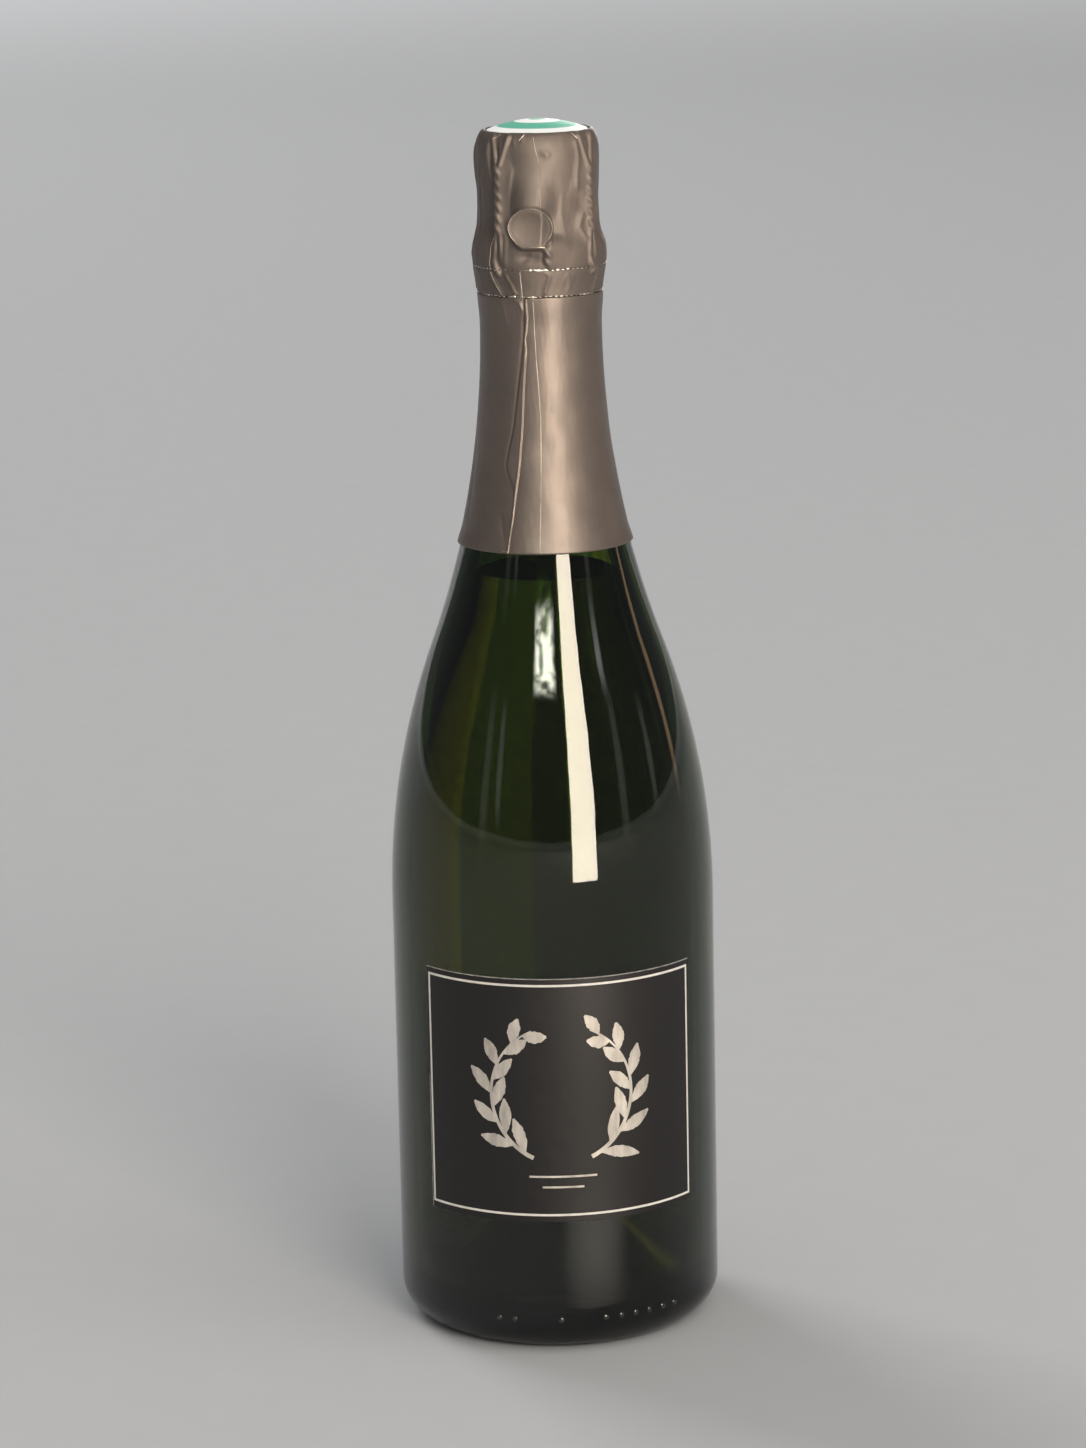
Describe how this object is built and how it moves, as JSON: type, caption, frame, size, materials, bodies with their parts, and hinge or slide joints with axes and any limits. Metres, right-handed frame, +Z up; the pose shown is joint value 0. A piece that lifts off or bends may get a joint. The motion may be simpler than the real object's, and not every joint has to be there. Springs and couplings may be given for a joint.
{
  "type": "sparkling wine bottle",
  "caption": "Dark green sparkling wine bottle with a deep punt, paper front label, foil capsule with tear strip, mushroom cork, domed cap plate and twisted wire cage.",
  "frame": {"origin": "centre of the standing ring, on the surface the bottle stands on", "axes": "+Z up along the bottle's axis, -Y towards the front label"},
  "size_m": [0.0864, 0.0867, 0.3231],
  "materials": {
    "glass_green": "polished dark green bottle glass",
    "wine_fill": "clear pale gold liquid",
    "cork_agglomerate": "granulated cork",
    "cork_natural": "natural cork with pores",
    "plate_enamel": "lacquered tinplate, teal field with a white rim",
    "wire_steel": "bright galvanised wire",
    "foil_taupe": "satin taupe lacquered foil",
    "label_paper": "charcoal uncoated paper with a cream printed frame"
  },
  "bodies": {
    "bottle": {"bottle_glass": "glass_green", "wine": "wine_fill", "front_label": "label_paper", "foil_skirt": "foil_taupe", "tear_strip": "foil_taupe"},
    "cork": {"cork_body": "cork_agglomerate", "cork_disc_upper": "cork_natural", "cork_disc_lower": "cork_natural"},
    "cage": {"cap_plate": "plate_enamel", "cage_wire": "wire_steel", "belt_wire": "wire_steel"},
    "hood": {"foil_hood": "foil_taupe"}
  },
  "joints": [
    {"name": "cork_pull", "type": "slide", "parent": "bottle", "child": "cork", "axis": [0, 0, 1], "range_m": [0, 0.04]},
    {"name": "cage_lift", "type": "slide", "parent": "cork", "child": "cage", "axis": [0, 0, 1], "range_m": [0, 0.05], "deforming": ["cage_wire", "belt_wire"]},
    {"name": "hood_lift", "type": "slide", "parent": "cage", "child": "hood", "axis": [0, 0, 1], "range_m": [0, 0.06]}
  ]
}
